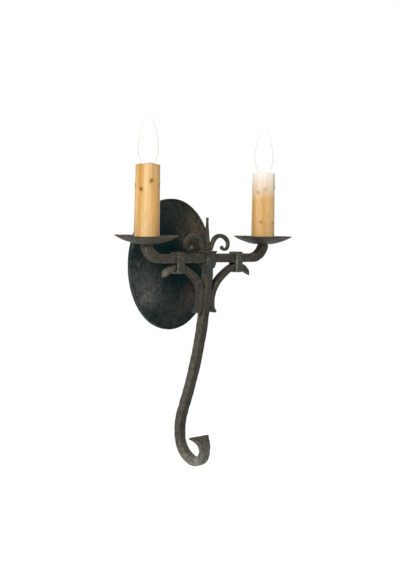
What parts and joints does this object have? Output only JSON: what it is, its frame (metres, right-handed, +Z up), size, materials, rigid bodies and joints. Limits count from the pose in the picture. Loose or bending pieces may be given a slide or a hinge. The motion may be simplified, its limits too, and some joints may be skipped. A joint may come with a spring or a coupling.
{
  "type": "candle wall sconce",
  "caption": "Forged iron candle sconce: oval domed wall plate, scrolled square-bar arms with drip pans, resin candle sleeves over flame bulbs, and a long curled tail.",
  "frame": {"origin": "middle of the oval plate's outline on the wall, which is the middle of the mounting strap's box screw slots", "axes": "+Z up along the candles, +Y into the wall, +X to the right seen from the room"},
  "size_m": [0.345, 0.1345, 0.5388],
  "materials": {
    "forged_iron": "hand-forged iron, hammered, dark brown-black wax finish with lighter rubbed edges",
    "zinc_steel": "zinc-plated sheet steel",
    "green_screw": "green earth screw",
    "brass_parts": "plain brass",
    "socket_moulding": "moulded phenolic",
    "candle_resin": "honey-coloured cast resin with wax drips and dark flecks",
    "bulb_glass": "lit flame-shaped bulb, softly frosted",
    "bulb_mount": "clear glass stem with support wires",
    "black_glass": "black glass insulator",
    "filament": "glowing wire",
    "lead_black": "black insulated lead",
    "lead_white": "white insulated lead",
    "connector_plastic": "twist-on connector",
    "copper": "bare copper wire"
  },
  "bodies": {
    "sconce": {"mounting_strap": "zinc_steel", "earth_screw": "green_screw", "plate_screws": "forged_iron", "wall_plate": "forged_iron", "plate_nut": "brass_parts", "centre_nipple": "brass_parts", "standoff_tube": "forged_iron", "hub": "forged_iron", "spike": "forged_iron", "stem": "forged_iron", "scroll_left": "forged_iron", "scroll_right": "forged_iron", "arm_left": "forged_iron", "arm_right": "forged_iron", "collar_left": "forged_iron", "collar_right": "forged_iron", "bracket_left": "forged_iron", "bracket_right": "forged_iron", "pan_washer_left": "forged_iron", "pan_washer_right": "forged_iron", "pan_left": "forged_iron", "pan_right": "forged_iron", "riser_nipple_left": "brass_parts", "riser_nipple_right": "brass_parts", "pan_nut_left": "zinc_steel", "pan_nut_right": "zinc_steel", "socket_post_left": "zinc_steel", "socket_post_right": "zinc_steel", "socket_body_left": "socket_moulding", "socket_body_right": "socket_moulding", "socket_shell_left": "brass_parts", "socket_shell_right": "brass_parts", "socket_contact_left": "brass_parts", "socket_contact_right": "brass_parts", "lead_hot_left": "lead_black", "lead_neutral_left": "lead_white", "lead_hot_right": "lead_black", "lead_neutral_right": "lead_white", "wire_connectors": "connector_plastic", "earth_wire": "copper"},
    "sleeve_left": {"sleeve_left": "candle_resin"},
    "bulb_left_foot": {"bulb_contact_left": "zinc_steel"},
    "bulb_left": {"bulb_glass_left": "bulb_glass", "bulb_cap_left": "brass_parts", "bulb_insulator_left": "black_glass", "bulb_mount_left": "bulb_mount", "filament_left": "filament"},
    "sleeve_right": {"sleeve_right": "candle_resin"},
    "bulb_right_foot": {"bulb_contact_right": "zinc_steel"},
    "bulb_right": {"bulb_glass_right": "bulb_glass", "bulb_cap_right": "brass_parts", "bulb_insulator_right": "black_glass", "bulb_mount_right": "bulb_mount", "filament_right": "filament"}
  },
  "joints": [
    {"name": "sleeve_left_lift", "type": "slide", "parent": "sconce", "child": "sleeve_left", "axis": [0, 0, 1], "range_m": [0, 0.19]},
    {"name": "bulb_left_rise", "type": "slide", "parent": "sconce", "child": "bulb_left_foot", "axis": [0, 0, 1], "range_m": [0, 0.009]},
    {"name": "bulb_left_turn", "type": "hinge", "parent": "bulb_left_foot", "child": "bulb_left", "pos_m": [-0.125, -0.087, 0.14], "axis": [0, 0, 1], "range_deg": [0, 1260]},
    {"name": "sleeve_right_lift", "type": "slide", "parent": "sconce", "child": "sleeve_right", "axis": [0, 0, 1], "range_m": [0, 0.19]},
    {"name": "bulb_right_rise", "type": "slide", "parent": "sconce", "child": "bulb_right_foot", "axis": [0, 0, 1], "range_m": [0, 0.009]},
    {"name": "bulb_right_turn", "type": "hinge", "parent": "bulb_right_foot", "child": "bulb_right", "pos_m": [0.125, -0.087, 0.14], "axis": [0, 0, 1], "range_deg": [0, 1260]}
  ],
  "couplings": [
    {"joint": "bulb_left_rise", "follows": "bulb_left_turn", "m_per_rad": 0.00040425},
    {"joint": "bulb_right_rise", "follows": "bulb_right_turn", "m_per_rad": 0.00040425}
  ]
}
